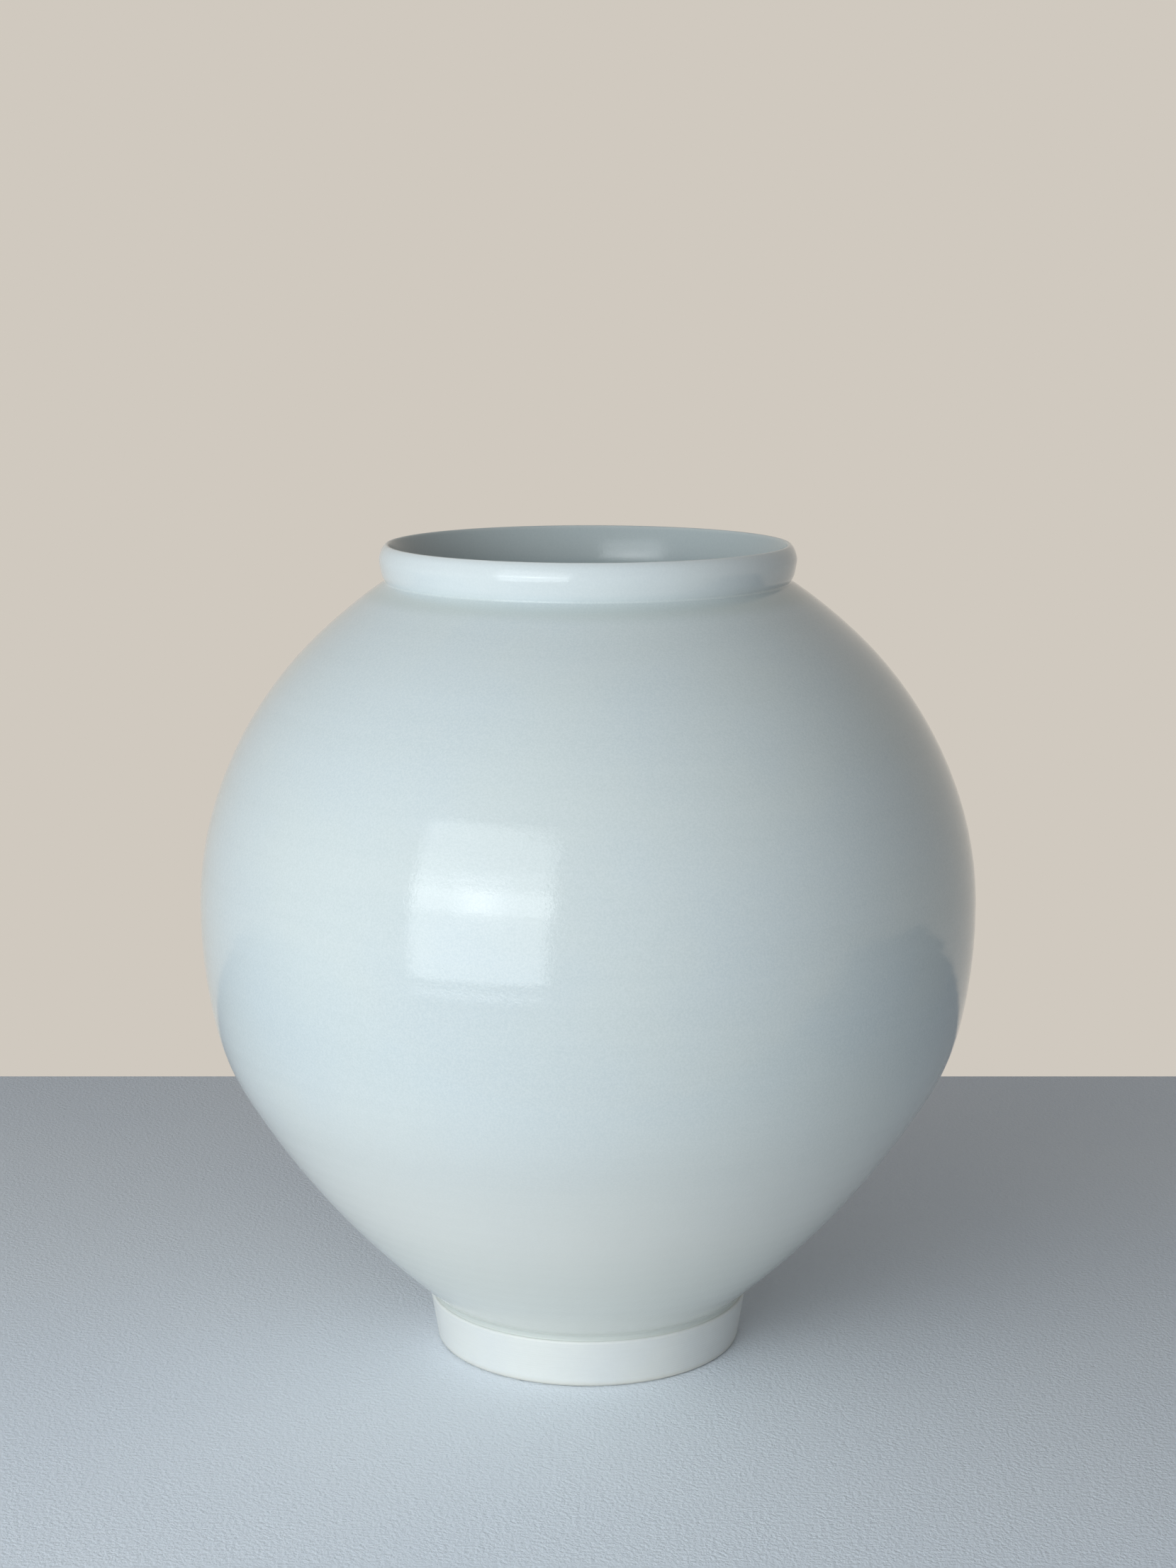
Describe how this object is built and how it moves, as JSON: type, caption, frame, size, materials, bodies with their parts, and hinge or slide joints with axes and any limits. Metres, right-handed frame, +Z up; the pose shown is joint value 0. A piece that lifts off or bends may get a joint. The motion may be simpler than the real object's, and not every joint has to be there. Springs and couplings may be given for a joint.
{
  "type": "porcelain storage jar",
  "caption": "Round wheel-thrown porcelain jar with a full rounded body, a low rolled collar round a wide mouth, a pale bluish milky glaze and a bare foot ring.",
  "frame": {"origin": "centre of the flat face that the foot ring stands on", "axes": "+Z up along the axis of the jar; the jar is round, so X and Y are any two directions square to it, and -Y faces the viewer in the picture"},
  "size_m": [0.285, 0.285, 0.3],
  "materials": {
    "porcelain_glaze": "smooth, softly shiny milky glaze with a faint blue-green cast",
    "bare_porcelain": "bare fired porcelain, fine-grained and satin",
    "slip": "fired slip, matt"
  },
  "bodies": {
    "root": {"foot_ring": "bare_porcelain", "foot_slip_seam": "slip", "lower_bowl": "bare_porcelain", "waist_slip_seam": "slip", "upper_bowl": "bare_porcelain", "collar_slip_seam": "slip", "rim_collar": "bare_porcelain", "inner_glaze": "porcelain_glaze", "outer_glaze": "porcelain_glaze", "base_glaze": "porcelain_glaze"}
  },
  "joints": []
}
